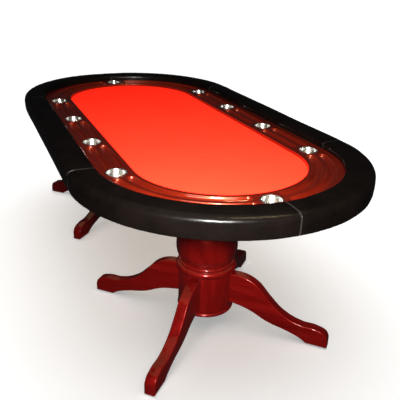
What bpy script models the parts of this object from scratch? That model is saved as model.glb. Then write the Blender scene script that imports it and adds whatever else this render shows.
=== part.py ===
"""Poker table: a padded racetrack-shaped top on two turned pedestals with four legs each.

Metres, +Z up. The origin is on the floor under the centre of the top, and +X is the long axis.
The top is a stack of flat layers that share one outline: two straights joined by half circles.
An inset is measured inward from that outline, and a section is a list of (inset, z) points.
"""

from math import cos, pi, radians, sin, sqrt

import bmesh
import bpy
from mathutils import Matrix, Vector

# Overall size
LENGTH = 2.4384
WIDTH = 1.2192
HEIGHT = 0.762
GAP = 0.0003  # between pieces that touch
STRAIGHT = LENGTH - WIDTH
ARC_STEPS = 24  # facets in each half-circle end

# Layers of the top, each as (underside, upper face)
DECK_Z = (0.6836, 0.7016)
RACETRACK_Z = (DECK_Z[1] + GAP, 0.7316)
RAIL_BASE_Z = (DECK_Z[1] + GAP, 0.7313)
BOARD_Z = (DECK_Z[1] + GAP, 0.7134)
FOAM_Z = (BOARD_Z[1] + GAP, 0.7196)
FELT_Z = (FOAM_Z[1] + GAP, 0.7213)

# Padded rail
RAIL_WIDTH = 0.114
RAIL_OUTER_ROUND = 0.0244
RAIL_INNER_ROUND = 0.014
SKIRT_THICKNESS = 0.0135
SKIRT_BOTTOM_Z = 0.681
RAIL_UNDERSIDE_Z = RACETRACK_Z[1] + GAP
DECK_INSET = 0.0145
RAIL_BASE_INNER = 0.110
SEAM = 0.0004  # between rail sections, and between racetrack sections

# Wooden racetrack
RACETRACK_INSET = (RAIL_BASE_INNER + GAP, 0.253)
RACETRACK_EASE = 0.002
RACETRACK_SEAM_X = 0.4064
PLAYFIELD_INSET = RACETRACK_INSET[1] + GAP

# Cup holders
CUP_PITCH = 0.4064
CUP_LINE_RADIUS = 0.4255
CUP_STEPS = 16
CUP_HOLE_RADIUS = 0.0385
CUP_RADIUS = 0.038
CUP_WALL = 0.0012
CUP_FLANGE_RADIUS = 0.043
CUP_FLANGE_THICKNESS = 0.0015
CUP_DEPTH = 0.0684

# Chip grooves: coves cut by a round tool whose axis runs above the racetrack
GROOVE_INSETS = (0.160, 0.215)
GROOVE_TOOL_RADIUS = 0.0190
GROOVE_TOOL_HEIGHT = 0.0030
GROOVE_END = 0.077  # from a cup's centre to the centre of the groove's round end

# Pedestals
PEDESTALS = {"front": (0.6174, -0.0440), "back": (-0.7010, -0.0440)}
TURN_STEPS = 24
BORE_RADIUS = 0.012
DRUM_Z = (0.068, 0.256)
DRUM_RADIUS = 0.120
COLLAR_Z = (DRUM_Z[1] + GAP, 0.3060)
VASE_Z = (COLLAR_Z[1] + GAP, 0.6650)
TOP_PLATE_Z = (VASE_Z[1] + GAP, DECK_Z[0] - GAP)
TOP_PLATE_SIDE = 0.36
TIE_ROD_RADIUS = 0.008

# Legs and glides
LEG_ANGLES = (45, -45, -135, 135)
LEG_THICKNESS = 0.045
LEG_ROUND = 0.004
GLIDE_RADIUS = 0.012
GLIDE_HEIGHT = 0.005
GLIDE_DISTANCE = 0.515  # from the pedestal's axis
FOOT_Z = GLIDE_HEIGHT + GAP

WELD = 0.00001


def start_scene():
    """Remove whatever the scene holds and make the two collections."""
    for obj in list(bpy.data.objects):
        bpy.data.objects.remove(obj, do_unlink=True)
    made = []
    for name in ("poker_table", "poker_table_cutters"):
        collection = bpy.data.collections.new(name)
        bpy.context.scene.collection.children.link(collection)
        made.append(collection)
    return made


def principled(name, colour, roughness, metallic=0.0):
    material = bpy.data.materials.new(name)
    material.use_nodes = True
    shader = material.node_tree.nodes["Principled BSDF"]
    shader.inputs["Base Color"].default_value = (*colour, 1.0)
    shader.inputs["Roughness"].default_value = roughness
    shader.inputs["Metallic"].default_value = metallic
    material.diffuse_color = (*colour, 1.0)
    return material


TABLE, CUTTERS = start_scene()
VINYL = principled("black_vinyl", (0.012, 0.011, 0.012), 0.38)
FELT = principled("red_felt", (0.80, 0.045, 0.020), 0.95)
MAHOGANY = principled("mahogany_lacquer", (0.26, 0.025, 0.012), 0.22)
PLYWOOD = principled("plywood", (0.52, 0.36, 0.20), 0.70)
FOAM = principled("foam", (0.62, 0.60, 0.54), 0.95)
STEEL = principled("stainless_steel", (0.62, 0.62, 0.60), 0.25, 1.0)
ZINC = principled("zinc_steel", (0.50, 0.50, 0.49), 0.45, 1.0)
GLIDE = principled("glide_plastic", (0.03, 0.03, 0.03), 0.55)


def place(name, data, material=None, location=(0, 0, 0), rotation=(0, 0, 0), parent=None):
    """A new object in the table's collection, on data that it may share."""
    obj = bpy.data.objects.new(name, data)
    TABLE.objects.link(obj)
    obj.location = location
    obj.rotation_euler = rotation
    obj.parent = parent
    if data is not None and material is not None and not data.materials:
        data.materials.append(material)
    return obj


def place_cutter(name, data, location=(0, 0, 0), rotation=(0, 0, 0), parent=None):
    obj = bpy.data.objects.new(name, data)
    CUTTERS.objects.link(obj)
    obj.location = location
    obj.rotation_euler = rotation
    obj.parent = parent
    obj.hide_render = True
    obj.display_type = "WIRE"
    return obj


def shade_round(mesh):
    mesh.shade_smooth()
    mesh.set_sharp_from_angle(angle=radians(35))


def mesh_from(bm, name):
    """Close off a bmesh as a mesh that faces outward and is shaded smooth."""
    bmesh.ops.recalc_face_normals(bm, faces=bm.faces)
    mesh = bpy.data.meshes.new(name)
    bm.to_mesh(mesh)
    bm.free()
    shade_round(mesh)
    return mesh


def welded_mesh(obj):
    """The evaluated shape of a curve or of a turned profile, welded; the object is removed."""
    bpy.context.view_layer.update()
    graph = bpy.context.evaluated_depsgraph_get()
    mesh = bpy.data.meshes.new_from_object(obj.evaluated_get(graph))
    mesh.name = obj.name
    bpy.data.objects.remove(obj)
    bm = bmesh.new()
    bm.from_mesh(mesh)
    bmesh.ops.remove_doubles(bm, verts=bm.verts, dist=WELD)
    bmesh.ops.recalc_face_normals(bm, faces=bm.faces)
    bm.to_mesh(mesh)
    bm.free()
    shade_round(mesh)
    return mesh


def cylinder_mesh(name, radius, z_low, z_high, steps):
    bm = bmesh.new()
    bmesh.ops.create_cone(
        bm, cap_ends=True, segments=steps, radius1=radius, radius2=radius, depth=z_high - z_low
    )
    bmesh.ops.translate(bm, verts=bm.verts, vec=(0, 0, (z_low + z_high) / 2))
    return mesh_from(bm, name)


def turned_mesh(name, profile, steps, bore=True):
    """A lathe-turned solid. The profile runs down the outer side; a bore closes it along the axis."""
    if bore:
        profile = profile + [(BORE_RADIUS, profile[-1][1]), (BORE_RADIUS, profile[0][1])]
    mesh = bpy.data.meshes.new(name)
    last = len(profile) - 1
    edges = [(i, i + 1) for i in range(last)]
    if bore:
        edges.append((last, 0))
    mesh.from_pydata([(r, 0, z) for r, z in profile], edges, [])
    obj = place(name, mesh)
    screw = obj.modifiers.new("Screw", "SCREW")
    screw.steps = steps
    screw.render_steps = steps
    screw.use_merge_vertices = True
    screw.merge_threshold = WELD
    return welded_mesh(obj)


def cut(obj, cutter):
    """Subtract one cutter, or every cutter of a collection."""
    boolean = obj.modifiers.new("Cut", "BOOLEAN")
    boolean.operation = "DIFFERENCE"
    boolean.solver = "EXACT"
    if isinstance(cutter, bpy.types.Collection):
        boolean.operand_type = "COLLECTION"
        boolean.collection = cutter
    else:
        boolean.object = cutter


def arc(centre_x, centre_y, radius, start, end, steps):
    """Points along an arc, both ends included; angles in degrees."""
    angles = [radians(start + (end - start) * i / steps) for i in range(steps + 1)]
    return [(centre_x + radius * cos(a), centre_y + radius * sin(a)) for a in angles]


def stadium(inset):
    """The outline of the top moved inward by inset, counter-clockwise."""
    radius = WIDTH / 2 - inset
    front = arc(STRAIGHT / 2, 0, radius, -90, 90, ARC_STEPS)
    back = arc(-STRAIGHT / 2, 0, radius, 90, 270, ARC_STEPS)
    return front + back


def plate(name, loops, z_range, material):
    """A flat layer: the first loop is its outline and the others are holes."""
    curve = bpy.data.curves.new(name, "CURVE")
    curve.dimensions = "2D"
    curve.fill_mode = "BOTH"
    curve.extrude = (z_range[1] - z_range[0]) / 2
    for loop in loops:
        spline = curve.splines.new("POLY")
        spline.points.add(len(loop) - 1)
        spline.use_cyclic_u = True
        for point, (x, y) in zip(spline.points, loop):
            point.co = (x, y, 0, 1)
    return place(name, curve, material, location=(0, 0, sum(z_range) / 2))


def extrude_face(bm, face, offset):
    region = [face, *face.edges, *face.verts]
    made = bmesh.ops.extrude_face_region(bm, geom=region)["geom"]
    moved = [item for item in made if isinstance(item, bmesh.types.BMVert)]
    bmesh.ops.translate(bm, verts=moved, vec=offset)
    return next(item for item in made if isinstance(item, bmesh.types.BMFace))


def spin_face(bm, face, angle):
    """Carry a face round the Z axis, with the same facets as a half-circle end."""
    steps = round(ARC_STEPS * angle / pi)
    region = [face, *face.edges, *face.verts]
    made = bmesh.ops.spin(
        bm,
        geom=region,
        cent=(0, 0, 0),
        axis=(0, 0, 1),
        angle=angle,
        steps=steps,
    )["geom_last"]
    return next(item for item in made if isinstance(item, bmesh.types.BMFace))


def swept_mesh(name, section, run, turn, start=0.0):
    """Carry a section along the edge of the top.

    The origin is the centre of an end's half circle. The section goes a straight run in +X along
    the -Y side, then turns about the origin, and after a half turn it goes the same run back.
    """
    bm = bmesh.new()
    corners = [bm.verts.new((-run, inset - WIDTH / 2, z)) for inset, z in section]
    face = bm.faces.new(corners)
    if run:
        face = extrude_face(bm, face, (run, 0, 0))
    if turn:
        face = spin_face(bm, face, turn)
    if run and turn:
        extrude_face(bm, face, (-run, 0, 0))
    bmesh.ops.rotate(bm, verts=bm.verts, cent=(0, 0, 0), matrix=Matrix.Rotation(start, 3, "Z"))
    return mesh_from(bm, name)


def rectangle(insets, z_range):
    return [
        (insets[0], z_range[0]),
        (insets[0], z_range[1]),
        (insets[1], z_range[1]),
        (insets[1], z_range[0]),
    ]


def rail_pad_section():
    """A padded top with a rounded outer shoulder and a skirt that hides the edge of the deck."""
    shoulder_z = HEIGHT - RAIL_OUTER_ROUND
    brow_z = HEIGHT - RAIL_INNER_ROUND
    section = [(0.0015, SKIRT_BOTTOM_Z), (0, SKIRT_BOTTOM_Z + 0.003)]
    section += arc(RAIL_OUTER_ROUND, shoulder_z, RAIL_OUTER_ROUND, 180, 90, 4)
    section += arc(RAIL_WIDTH - RAIL_INNER_ROUND, brow_z, RAIL_INNER_ROUND, 90, 0, 2)
    section += [
        (RAIL_WIDTH, RAIL_UNDERSIDE_Z),
        (SKIRT_THICKNESS, RAIL_UNDERSIDE_Z),
        (SKIRT_THICKNESS, SKIRT_BOTTOM_Z),
    ]
    return section


def racetrack_section():
    low, high = RACETRACK_Z
    outer, inner = RACETRACK_INSET
    return [
        (outer, low),
        (outer, high),
        (inner - RACETRACK_EASE, high),
        (inner, high - RACETRACK_EASE),
        (inner, low),
    ]


def make_rail(prefix, section, material):
    """Two straight sections and four quarter-circle sections round the edge."""
    run = STRAIGHT - SEAM
    straight = swept_mesh(prefix + "_straight", section, run, 0)
    straight.transform(Matrix.Translation((run / 2, 0, 0)))
    ease = SEAM / WIDTH
    corner = swept_mesh(prefix + "_corner", section, 0, pi / 2 - 2 * ease, start=ease)
    for side, angle in (("left", 0), ("right", pi)):
        place(prefix + "_" + side, straight, material, rotation=(0, 0, angle))
    corners = ("front_left", "front_right", "back_right", "back_left")
    for index, corner_name in enumerate(corners):
        centre_x = STRAIGHT / 2 if index < 2 else -STRAIGHT / 2
        place(
            prefix + "_" + corner_name,
            corner,
            material,
            location=(centre_x, 0, 0),
            rotation=(0, 0, index * pi / 2),
        )


def cup_centres():
    """Four cups along each straight side and one in the middle of each end."""
    along = [CUP_PITCH * (i - 1.5) for i in range(4)]
    left = [(x, -CUP_LINE_RADIUS) for x in along]
    right = [(-x, CUP_LINE_RADIUS) for x in along]
    end_x = STRAIGHT / 2 + CUP_LINE_RADIUS
    return left + [(end_x, 0)] + right + [(-end_x, 0)]


def cup_profile():
    """Up the inside from the middle of the floor, over the flange and down the outside."""
    flange_z = RACETRACK_Z[1] + GAP
    top_z = flange_z + CUP_FLANGE_THICKNESS
    bottom_z = top_z - CUP_DEPTH
    inner = CUP_RADIUS - CUP_WALL
    return [
        (0, bottom_z + CUP_WALL),
        (inner, bottom_z + CUP_WALL),
        (inner, top_z),
        (CUP_FLANGE_RADIUS, top_z),
        (CUP_FLANGE_RADIUS, flange_z),
        (CUP_RADIUS, flange_z),
        (CUP_RADIUS, bottom_z),
        (0, bottom_z),
    ]


def make_cups():
    mesh = turned_mesh("cup_holder", cup_profile(), CUP_STEPS, bore=False)
    hole = cylinder_mesh("cup_hole", CUP_HOLE_RADIUS, DECK_Z[0] - 0.01, HEIGHT, CUP_STEPS)
    for index, (x, y) in enumerate(cup_centres(), 1):
        place("cup_holder_%02d" % index, mesh, STEEL, location=(x, y, 0))
        place_cutter("cup_hole_%02d" % index, hole, location=(x, y, 0))


def groove_ends():
    """(share of the tool's radius, distance past the end's centre) where the tool leaves the wood."""
    angles = [radians(25 * i) for i in range(1, 4)]
    return [(cos(a), GROOVE_TOOL_RADIUS * sin(a)) for a in angles]


def groove_cutter(name, path, step_along):
    """The tool's swept shape: a tube along the path that closes to a ball at both ends."""
    first, last = Vector(path[0]), Vector(path[-1])
    head, tail = step_along
    points = [(first - head * d, share) for share, d in reversed(groove_ends())]
    points += [(Vector(p), 1.0) for p in path]
    points += [(last + tail * d, share) for share, d in groove_ends()]
    curve = bpy.data.curves.new(name, "CURVE")
    curve.dimensions = "3D"
    curve.bevel_depth = GROOVE_TOOL_RADIUS
    curve.bevel_resolution = 4
    curve.use_fill_caps = True
    curve.twist_mode = "Z_UP"
    spline = curve.splines.new("POLY")
    spline.points.add(len(points) - 1)
    for point, (co, share) in zip(spline.points, points):
        point.co = (*co, 1)
        point.radius = share
    mesh = welded_mesh(place(name, curve))
    return place_cutter(name, mesh)


def straight_groove(name, x, inset, side):
    """A groove between the cups at x and x + CUP_PITCH on the side at -Y (side -1) or +Y."""
    y = side * (WIDTH / 2 - inset)
    z = RACETRACK_Z[1] + GROOVE_TOOL_HEIGHT
    path = [(x + GROOVE_END, y, z), (x + CUP_PITCH - GROOVE_END, y, z)]
    groove_cutter(name, path, (Vector((1, 0, 0)), Vector((1, 0, 0))))


def curved_groove(name, centre_x, inset, start):
    """A groove round one quarter of an end, from start degrees."""
    radius = WIDTH / 2 - inset
    z = RACETRACK_Z[1] + GROOVE_TOOL_HEIGHT
    trim = GROOVE_END / CUP_LINE_RADIUS * 180 / pi
    flat = arc(centre_x, 0, radius, start + trim, start + 90 - trim, 9)
    tangents = [Vector((-sin(a), cos(a), 0)) for a in (radians(start + trim), radians(start + 90 - trim))]
    groove_cutter(name, [(x, y, z) for x, y in flat], tangents)


def make_groove_cutters():
    """Two parallel grooves in each of the ten spaces between cups."""
    for row, inset in enumerate(GROOVE_INSETS, 1):
        for i in range(3):
            x = CUP_PITCH * (i - 1.5)
            straight_groove("groove_left_%d_%d" % (i + 1, row), x, inset, -1)
            straight_groove("groove_right_%d_%d" % (i + 1, row), x, inset, 1)
        for quarter in range(4):
            centre_x = STRAIGHT / 2 if quarter < 2 else -STRAIGHT / 2
            name = "groove_end_%d_%d" % (quarter + 1, row)
            curved_groove(name, centre_x, inset, -90 + 90 * quarter)


def make_racetrack():
    """Two straight boards and two U-shaped ends, drilled for the cups and grooved for chips."""
    section = racetrack_section()
    run = 2 * RACETRACK_SEAM_X - SEAM
    side = swept_mesh("racetrack_side", section, run, 0)
    side.transform(Matrix.Translation((run / 2, 0, 0)))
    end = swept_mesh("racetrack_end", section, STRAIGHT / 2 - RACETRACK_SEAM_X, pi)
    for name, mesh, x, angle in (
        ("racetrack_left", side, 0, 0),
        ("racetrack_right", side, 0, pi),
        ("racetrack_front", end, STRAIGHT / 2, 0),
        ("racetrack_back", end, -STRAIGHT / 2, pi),
    ):
        cut(place(name, mesh, MAHOGANY, location=(x, 0, 0), rotation=(0, 0, angle)), CUTTERS)


def make_top():
    holes = [arc(x, y, CUP_HOLE_RADIUS, 0, 360, CUP_STEPS)[:-1] for x, y in cup_centres()]
    plate("table_deck", [stadium(DECK_INSET)] + holes, DECK_Z, PLYWOOD)
    plate("playfield_board", [stadium(PLAYFIELD_INSET)], BOARD_Z, PLYWOOD)
    plate("playfield_foam", [stadium(PLAYFIELD_INSET)], FOAM_Z, FOAM)
    plate("playfield_felt", [stadium(PLAYFIELD_INSET)], FELT_Z, FELT)
    make_cups()
    make_groove_cutters()
    make_racetrack()
    make_rail("rail_base", rectangle((DECK_INSET, RAIL_BASE_INNER), RAIL_BASE_Z), PLYWOOD)
    make_rail("rail_pad", rail_pad_section(), VINYL)


def drum_profile():
    low, high = DRUM_Z
    return [
        (DRUM_RADIUS - 0.0005, high),
        (DRUM_RADIUS, high - 0.014),
        (DRUM_RADIUS, low + 0.024),
        (0.121, low + 0.020),
        (0.121, low + 0.007),
        (0.117, low + 0.002),
        (0.110, low),
    ]


def collar_profile():
    """A small bead over a large one."""
    low, high = COLLAR_Z
    small = [(0.1185, high), (0.1220, high - 0.006), (0.1205, high - 0.0125)]
    large = arc(0.1180, low + 0.0205, 0.0135, 45, -45, 3)
    return small + large + [(0.1205, low + 0.004), (0.1205, low)]


def vase_profile():
    """A flange and a bead, a narrow neck, then a belly that draws in above the collar."""
    low, high = VASE_Z
    flange = [(0.125, high), (0.125, high - 0.014), (0.107, high - 0.015)]
    bead = [(0.110, high - 0.025), (0.105, high - 0.035), (0.092, high - 0.040)]
    neck = [(0.086, 0.600), (0.084, 0.560), (0.090, 0.520), (0.102, 0.480)]
    belly = [(0.118, 0.440), (0.129, 0.400), (0.131, 0.372), (0.1295, 0.346), (0.1255, 0.333)]
    waist = [(0.117, 0.317), (0.1165, low)]
    return flange + bead + neck + belly + waist


def tie_rod_profile():
    """A threaded rod with a washer and a nut under the drum, solid to its axis."""
    washer_z = DRUM_Z[0] - GAP
    return [
        (0, TOP_PLATE_Z[1] - 0.001),
        (TIE_ROD_RADIUS, TOP_PLATE_Z[1] - 0.001),
        (TIE_ROD_RADIUS, washer_z),
        (0.022, washer_z),
        (0.022, washer_z - 0.003),
        (0.0125, washer_z - 0.003),
        (0.0125, washer_z - 0.012),
        (TIE_ROD_RADIUS, washer_z - 0.012),
        (TIE_ROD_RADIUS, washer_z - 0.015),
        (0, washer_z - 0.015),
    ]


def leg_mesh():
    """A sabre leg in its own upright plane: X is the distance from the pedestal's axis."""
    over = [(0.175, 0.2535), (0.232, 0.230), (0.290, 0.172), (0.350, 0.119)]
    over += [(0.430, 0.087), (0.500, 0.082), (0.543, 0.062)]
    under = [(0.438, 0.021), (0.385, 0.040), (0.290, 0.064), (0.205, 0.101)]
    corners = {0: (0.100, 0.2553), 8: (0.552, FOOT_Z), 9: (0.463, FOOT_Z), 14: (0.100, 0.120)}
    outline = [corners[0]] + over + [corners[8], corners[9]] + under + [corners[14]]
    curve = bpy.data.curves.new("leg", "CURVE")
    curve.dimensions = "2D"
    curve.fill_mode = "BOTH"
    curve.resolution_u = 2
    curve.bevel_depth = LEG_ROUND
    curve.bevel_resolution = 0
    curve.offset = -LEG_ROUND
    curve.extrude = LEG_THICKNESS / 2 - LEG_ROUND
    spline = curve.splines.new("BEZIER")
    spline.bezier_points.add(len(outline) - 1)
    spline.use_cyclic_u = True
    for index, (point, (x, z)) in enumerate(zip(spline.bezier_points, outline)):
        kind = "VECTOR" if index in corners else "AUTO"
        point.co = (x, z, 0)
        point.handle_left_type = kind
        point.handle_right_type = kind
    mesh = welded_mesh(place("leg", curve))
    mesh.transform(Matrix.Rotation(pi / 2, 4, "X"))
    return mesh


def top_plate_mesh():
    bm = bmesh.new()
    bmesh.ops.create_cube(bm, size=1)
    thickness = TOP_PLATE_Z[1] - TOP_PLATE_Z[0]
    bmesh.ops.scale(bm, verts=bm.verts, vec=(TOP_PLATE_SIDE, TOP_PLATE_SIDE, thickness))
    bmesh.ops.translate(bm, verts=bm.verts, vec=(0, 0, sum(TOP_PLATE_Z) / 2))
    return mesh_from(bm, "top_plate")


def make_pedestal(end, location, meshes):
    """One pedestal on an empty at its axis on the floor."""
    name = "pedestal_" + end
    axis = place(name + "_axis", None, location=(*location, 0))
    place(name + "_drum", meshes["drum"], MAHOGANY, parent=axis)
    place(name + "_collar", meshes["collar"], MAHOGANY, parent=axis)
    place(name + "_vase", meshes["vase"], MAHOGANY, parent=axis)
    place(name + "_tie_rod", meshes["tie_rod"], ZINC, parent=axis)
    plate_obj = place(name + "_top_plate", meshes["top_plate"], PLYWOOD, parent=axis)
    cut(plate_obj, place_cutter(name + "_rod_hole", meshes["rod_hole"], parent=axis))
    socket = place_cutter(name + "_leg_seat", meshes["leg_seat"], parent=axis)
    for index, degrees in enumerate(LEG_ANGLES, 1):
        angle = radians(degrees)
        leg = place("%s_leg_%d" % (name, index), meshes["leg"], MAHOGANY, (0, 0, 0), (0, 0, angle), axis)
        cut(leg, socket)
        foot = (GLIDE_DISTANCE * cos(angle), GLIDE_DISTANCE * sin(angle), 0)
        place("%s_glide_%d" % (name, index), meshes["glide"], GLIDE, foot, parent=axis)


def make_pedestals():
    meshes = {
        "drum": turned_mesh("drum", drum_profile(), TURN_STEPS),
        "collar": turned_mesh("collar", collar_profile(), TURN_STEPS),
        "vase": turned_mesh("vase", vase_profile(), TURN_STEPS),
        "tie_rod": turned_mesh("tie_rod", tie_rod_profile(), 12, bore=False),
        "top_plate": top_plate_mesh(),
        "leg": leg_mesh(),
        "glide": cylinder_mesh("glide", GLIDE_RADIUS, 0, GLIDE_HEIGHT, 16),
        "rod_hole": cylinder_mesh("rod_hole", TIE_ROD_RADIUS + 0.001, 0.6, 0.7, 12),
        "leg_seat": cylinder_mesh("leg_seat", DRUM_RADIUS + GAP, 0.05, 0.3, TURN_STEPS),
    }
    for end, location in PEDESTALS.items():
        make_pedestal(end, location, meshes)


make_top()
make_pedestals()
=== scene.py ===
"""Poker table: the finished look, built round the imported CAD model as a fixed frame.

Every visible CAD node is replaced by a finer piece of the same size in the same place. Metres,
+Z up. An inset is measured inward from the outer edge of the padded rail.
"""

from math import cos, pi, radians, sin, sqrt
import bmesh
import bpy
import numpy as np
from mathutils import Matrix, Vector


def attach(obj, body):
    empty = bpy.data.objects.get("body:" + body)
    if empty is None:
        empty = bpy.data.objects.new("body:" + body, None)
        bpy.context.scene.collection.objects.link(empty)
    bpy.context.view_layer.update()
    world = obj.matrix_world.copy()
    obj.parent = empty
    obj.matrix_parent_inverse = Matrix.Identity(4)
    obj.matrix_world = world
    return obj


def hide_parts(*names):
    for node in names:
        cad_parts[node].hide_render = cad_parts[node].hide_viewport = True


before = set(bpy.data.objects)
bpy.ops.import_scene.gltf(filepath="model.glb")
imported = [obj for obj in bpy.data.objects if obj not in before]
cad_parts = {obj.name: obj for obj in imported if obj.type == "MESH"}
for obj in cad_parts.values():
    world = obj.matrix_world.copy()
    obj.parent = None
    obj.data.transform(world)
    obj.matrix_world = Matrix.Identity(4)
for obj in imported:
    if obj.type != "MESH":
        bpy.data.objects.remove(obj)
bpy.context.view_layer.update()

# The top's outline, as in the CAD model
HALF_WIDTH = 0.6096
HALF_STRAIGHT = 0.6096
RAIL_TOP_Z = 0.762
RAIL_WIDTH = 0.114
SKIRT = 0.0135
SKIRT_BOTTOM_Z = 0.681
TRACK_TOP_Z = 0.7316
TRACK_BOTTOM_Z = 0.7019
TRACK_INSET = (0.1103, 0.2530)
TRACK_SEAM_X = 0.4064
FELT_INSET = 0.2533
FELT_Z = 0.7213
FOAM_Z = (0.7137, 0.7196)
SEAM = 0.0002  # half of the gap between two sections
WELD = 1e-6  # vertices closer than this are one

CUP_RADIUS = 0.038
CUP_HOLE = 0.0385
CUP_FLANGE = 0.043
CUP_TOP_Z = 0.7334
CUP_DEPTH = 0.0684
CUP_WALL = 0.0012
CUP_LINE = 0.4255
CUP_PITCH = 0.4064

# Chip grooves are cut by a round tool whose axis runs GROOVE_HEIGHT above the racetrack
GROOVE_INSETS = (0.160, 0.215)
GROOVE_RADIUS = 0.0190
GROOVE_HEIGHT = 0.0030
GROOVE_END = 0.077  # from a cup's centre to the centre of the groove's round end

PEDESTALS = {"front": (0.6174, -0.0440), "back": (-0.7010, -0.0440)}
LEG_ANGLES = (45, -45, -135, 135)
DRUM_Z = (0.068, 0.256)
COLLAR_Z = (0.2563, 0.3060)
VASE_Z = (0.3063, 0.6650)
BORE = 0.012
LEG_THICKNESS = 0.045
LEG_ROUND = 0.0045
FOOT_Z = 0.0053
GLIDE_DISTANCE = 0.515  # from the pedestal's axis


# ---------------------------------------------------------------- meshes


def smooth_step(low, high, x):
    """0 below low and 1 above high, or the other way round where low is the larger."""
    t = np.clip((x - low) / (high - low), 0.0, 1.0)
    return t * t * (3 - 2 * t)


def value_noise(x, y, seed):
    """Smooth noise from 0 to 1 on two arrays of coordinates, the same on each run."""
    cells = 64
    table = np.random.default_rng(seed).random((cells, cells))
    x, y = np.broadcast_arrays(np.asarray(x, float), np.asarray(y, float))
    x0, y0 = np.floor(x).astype(int), np.floor(y).astype(int)
    fx, fy = x - x0, y - y0
    fx, fy = fx * fx * (3 - 2 * fx), fy * fy * (3 - 2 * fy)
    left, right = x0 % cells, (x0 + 1) % cells
    low, high = y0 % cells, (y0 + 1) % cells
    a = table[left, low] * (1 - fx) + table[right, low] * fx
    b = table[left, high] * (1 - fx) + table[right, high] * fx
    return a * (1 - fy) + b * fy


def object_from(name, verts, faces, material, attributes=None, sharp=None):
    """A smooth mesh object, with edges over sharp degrees kept sharp.

    attributes maps a name to one number or one vector for each vertex.
    """
    mesh = bpy.data.meshes.new(name)
    mesh.from_pydata(np.asarray(verts, float).tolist(), [], faces)
    mesh.update()
    for key, values in (attributes or {}).items():
        values = np.asarray(values, np.float32)
        kind, field = ("FLOAT", "value") if values.ndim == 1 else ("FLOAT_VECTOR", "vector")
        layer = mesh.attributes.new(key, kind, "POINT")
        layer.data.foreach_set(field, values.ravel())
    mesh.shade_smooth()
    if sharp is not None:
        mesh.set_sharp_from_angle(angle=radians(sharp))
    mesh.materials.append(material)
    obj = bpy.data.objects.new(name, mesh)
    bpy.context.scene.collection.objects.link(obj)
    return obj


def grid_faces(rows, columns, wrap_rows=False, wrap_columns=False):
    """Quads of a grid whose vertex (i, j) is number i * columns + j."""
    i = np.arange(rows if wrap_rows else rows - 1)
    j = np.arange(columns if wrap_columns else columns - 1)
    i, j = np.meshgrid(i, j, indexing="ij")
    i1, j1 = (i + 1) % rows, (j + 1) % columns
    quads = np.stack([i * columns + j, i1 * columns + j, i1 * columns + j1, i * columns + j1], -1)
    return quads.reshape(-1, 4).tolist()


def vertex_array(mesh):
    flat = np.empty(len(mesh.vertices) * 3, np.float32)
    mesh.vertices.foreach_get("co", flat)
    return flat.reshape(-1, 3).astype(float)


def turn_outward(mesh, weld=False):
    """Turn a mesh's faces outward, once any vertices that lie together are welded."""
    bm = bmesh.new()
    bm.from_mesh(mesh)
    if weld:
        bmesh.ops.remove_doubles(bm, verts=bm.verts, dist=WELD)
    bmesh.ops.recalc_face_normals(bm, faces=bm.faces)
    bm.to_mesh(mesh)
    bm.free()


def finish_piece(obj, body, node):
    """Say which body the piece rides on, which CAD node it replaces."""
    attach(obj, body)
    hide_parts(node)


def round_corners(corners, per_round, longest):
    """A closed polygon from (inset, z, radius) corners.

    Each arc has per_round edges, and no edge is over longest.
    """
    points = []
    count = len(corners)
    for k in range(count):
        before = np.array(corners[k - 1][:2])
        at = np.array(corners[k][:2])
        after = np.array(corners[(k + 1) % count][:2])
        radius = corners[k][2]
        if radius <= 0:
            points.append(at)
            continue
        d0, d1 = before - at, after - at
        d0, d1 = d0 / np.linalg.norm(d0), d1 / np.linalg.norm(d1)
        half = np.arccos(np.clip(d0 @ d1, -1, 1)) / 2
        centre = at + (d0 + d1) / np.linalg.norm(d0 + d1) * radius / np.sin(half)
        start = at + d0 * radius / np.tan(half) - centre
        end = at + d1 * radius / np.tan(half) - centre
        a0, a1 = np.arctan2(start[1], start[0]), np.arctan2(end[1], end[0])
        turn = (a1 - a0 + pi) % (2 * pi) - pi
        for t in np.linspace(0, 1, per_round + 1):
            a = a0 + turn * t
            points.append(centre + radius * np.array([np.cos(a), np.sin(a)]))
    filled = []
    for k, at in enumerate(points):
        after = points[(k + 1) % len(points)]
        parts = max(1, int(np.ceil(np.linalg.norm(after - at) / longest)))
        filled += [at + (after - at) * t / parts for t in range(parts)]
    return np.array(filled)


def loop_normals(loop):
    """Outward normals of a clockwise or counter-clockwise closed loop."""
    along = np.roll(loop, -1, 0) - np.roll(loop, 1, 0)
    normal = np.stack([along[:, 1], -along[:, 0]], 1)
    normal /= np.linalg.norm(normal, axis=1)[:, None]
    x, y = loop[:, 0], loop[:, 1]
    area = (x * np.roll(y, -1) - np.roll(x, -1) * y).sum()
    return normal if area > 0 else -normal


# A station is (centre x, centre y, outward x, outward y, distance along the edge)


def straight_stations(side, start, end, distances):
    """Along a straight side (-1 at -Y, 1 at +Y) from x = start to x = end."""
    way = 1 if end > start else -1
    return np.array([(start + way * d, 0, 0, side, d) for d in distances])


def arc_stations(centre_x, start, turn, distances):
    """Round an end from the angle start by turn radians; distances are at the outer edge."""
    angles = start + np.sign(turn) * np.asarray(distances) / HALF_WIDTH
    return np.array([(centre_x, 0, cos(a), sin(a), d) for a, d in zip(angles, distances)])


def place(stations, inset, z):
    """Points for each station (rows) and each (inset, z) pair (columns)."""
    radius = HALF_WIDTH - inset
    x = stations[:, :1] + stations[:, 2:3] * radius
    y = stations[:, 1:2] + stations[:, 3:4] * radius
    return np.stack([x, y, np.broadcast_to(z, x.shape)], -1)


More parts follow.
